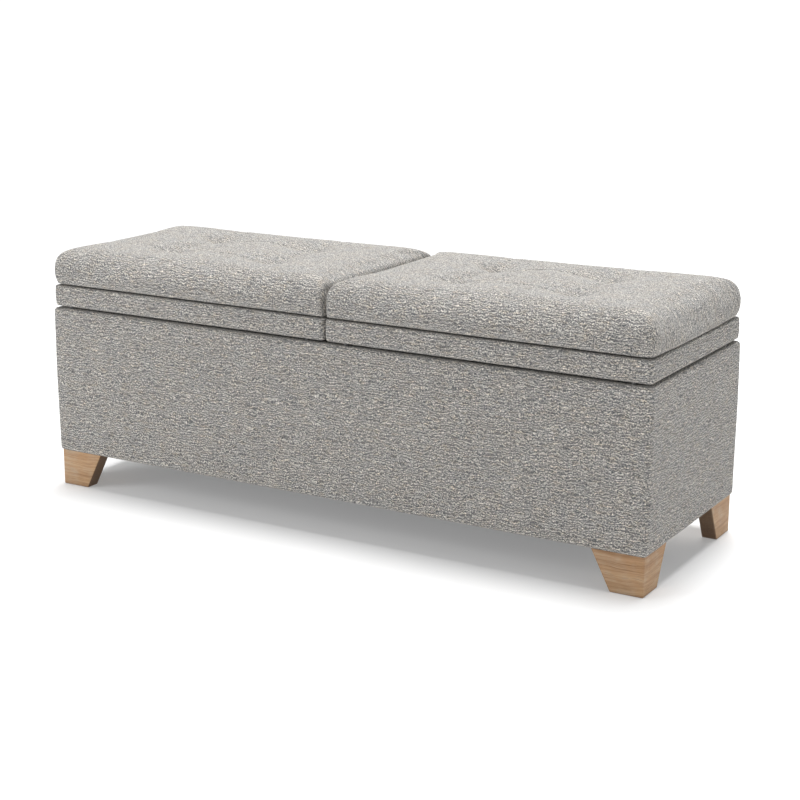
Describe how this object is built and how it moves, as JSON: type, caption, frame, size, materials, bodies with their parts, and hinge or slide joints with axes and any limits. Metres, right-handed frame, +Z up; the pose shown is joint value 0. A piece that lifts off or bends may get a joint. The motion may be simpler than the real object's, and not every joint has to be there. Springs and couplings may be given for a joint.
{
  "type": "storage bench",
  "caption": "Upholstered storage bench: a padded box on tapered oak bracket feet, divided inside, under tufted cushion lids that hinge up at the back on soft-close stays.",
  "frame": {"origin": "on the floor under the middle of the bench", "axes": "+X along the bench to the right as seen from the front, front at -Y, +Z up"},
  "size_m": [1.221, 0.407, 0.457],
  "materials": {
    "upholstery_fabric": "matte",
    "oak": "satin",
    "plywood": "matte",
    "softwood": "matte",
    "wadding": "matte",
    "foam": "matte",
    "lining_fabric": "matte",
    "dust_cloth": "matte",
    "zinc_steel": "satin",
    "stay_metal": "satin",
    "stay_plastic": "satin",
    "bumper_rubber": "matte",
    "twine": "matte"
  },
  "bodies": {
    "box": {"bottom_cleats": "softwood", "box_back_panel": "plywood", "box_bottom_panel": "plywood", "box_cover": "upholstery_fabric", "box_divider": "plywood", "box_front_panel": "plywood", "box_hardware_screws": "zinc_steel", "box_left_end_panel": "plywood", "box_padding": "wadding", "box_right_end_panel": "plywood", "corner_blocks": "softwood", "divider_cap": "lining_fabric", "dust_cover": "dust_cloth", "foot_bolts": "zinc_steel", "foot_tee_nuts": "zinc_steel", "front_left_foot": "oak", "front_right_foot": "oak", "hinge_pins": "zinc_steel", "left_compartment_lining": "lining_fabric", "left_inner_hinge_box_leaf": "zinc_steel", "left_outer_hinge_box_leaf": "zinc_steel", "left_stay_housing": "stay_plastic", "panel_screws": "zinc_steel", "rear_left_foot": "oak", "rear_right_foot": "oak", "right_compartment_lining": "lining_fabric", "right_inner_hinge_box_leaf": "zinc_steel", "right_outer_hinge_box_leaf": "zinc_steel", "right_stay_housing": "stay_plastic", "rim_bumpers": "bumper_rubber"},
    "left_lid": {"left_lid_board": "plywood", "left_lid_rails": "softwood", "left_band_padding": "wadding", "left_band_cover": "upholstery_fabric", "left_cushion_foam": "foam", "left_cushion_cover": "upholstery_fabric", "left_tuft_ties": "twine", "left_lid_lining": "lining_fabric", "left_inner_hinge_lid_leaf": "zinc_steel", "left_outer_hinge_lid_leaf": "zinc_steel", "left_lid_screws": "zinc_steel", "left_stay_bracket": "stay_metal"},
    "left_stay_arm": {"left_stay_arm": "stay_metal"},
    "left_stay_link": {"left_stay_link": "stay_metal"},
    "right_lid": {"right_lid_board": "plywood", "right_lid_rails": "softwood", "right_band_padding": "wadding", "right_band_cover": "upholstery_fabric", "right_cushion_foam": "foam", "right_cushion_cover": "upholstery_fabric", "right_tuft_ties": "twine", "right_lid_lining": "lining_fabric", "right_inner_hinge_lid_leaf": "zinc_steel", "right_outer_hinge_lid_leaf": "zinc_steel", "right_lid_screws": "zinc_steel", "right_stay_bracket": "stay_metal"},
    "right_stay_arm": {"right_stay_arm": "stay_metal"},
    "right_stay_link": {"right_stay_link": "stay_metal"}
  },
  "joints": [
    {"name": "left_lid_hinge", "type": "hinge", "parent": "box", "child": "left_lid", "pos_m": [-0.30275, 0.2005, 0.349], "axis": [-1, 0, 0], "range_deg": [0, 95]},
    {"name": "left_stay_arm_pivot", "type": "hinge", "parent": "box", "child": "left_stay_arm", "pos_m": [-0.567, 0.1455, 0.274], "axis": [-1, 0, 0], "range_deg": [0, 95]},
    {"name": "left_stay_link_pivot", "type": "hinge", "parent": "left_stay_arm", "child": "left_stay_link", "pos_m": [-0.5635, 0.0355, 0.26], "axis": [-1, 0, 0], "range_deg": [-95, 0]},
    {"name": "right_lid_hinge", "type": "hinge", "parent": "box", "child": "right_lid", "pos_m": [0.30275, 0.2005, 0.349], "axis": [-1, 0, 0], "range_deg": [0, 95]},
    {"name": "right_stay_arm_pivot", "type": "hinge", "parent": "box", "child": "right_stay_arm", "pos_m": [0.567, 0.1455, 0.274], "axis": [-1, 0, 0], "range_deg": [0, 95]},
    {"name": "right_stay_link_pivot", "type": "hinge", "parent": "right_stay_arm", "child": "right_stay_link", "pos_m": [0.5635, 0.0355, 0.26], "axis": [-1, 0, 0], "range_deg": [-95, 0]}
  ],
  "couplings": [
    {"joint": "left_stay_arm_pivot", "follows": "left_lid_hinge", "ratio": 1},
    {"joint": "left_stay_link_pivot", "follows": "left_lid_hinge", "ratio": -1},
    {"joint": "right_stay_arm_pivot", "follows": "right_lid_hinge", "ratio": 1},
    {"joint": "right_stay_link_pivot", "follows": "right_lid_hinge", "ratio": -1}
  ]
}
